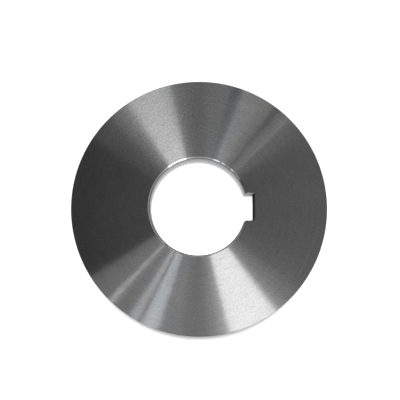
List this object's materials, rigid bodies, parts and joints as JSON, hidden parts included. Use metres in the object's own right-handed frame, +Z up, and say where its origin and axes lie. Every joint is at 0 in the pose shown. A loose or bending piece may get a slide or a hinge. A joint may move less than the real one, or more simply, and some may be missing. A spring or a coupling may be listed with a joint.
{
  "type": "circular slitter knife",
  "caption": "Flat ground steel ring knife with sharp square edges, a chamfered bore and a keyway, for slitting sheet on an arbor.",
  "frame": {"origin": "middle of the back face, on the bore's axis, with the knife lying on that face", "axes": "+Z runs up the bore to the front face, and the keyway points along +X"},
  "size_m": [0.21, 0.21, 0.02],
  "materials": {
    "ground_steel": "hardened tool steel, ground round and round on the faces, sharp at the edges"
  },
  "bodies": {
    "root": {"knife": "ground_steel"}
  },
  "joints": []
}
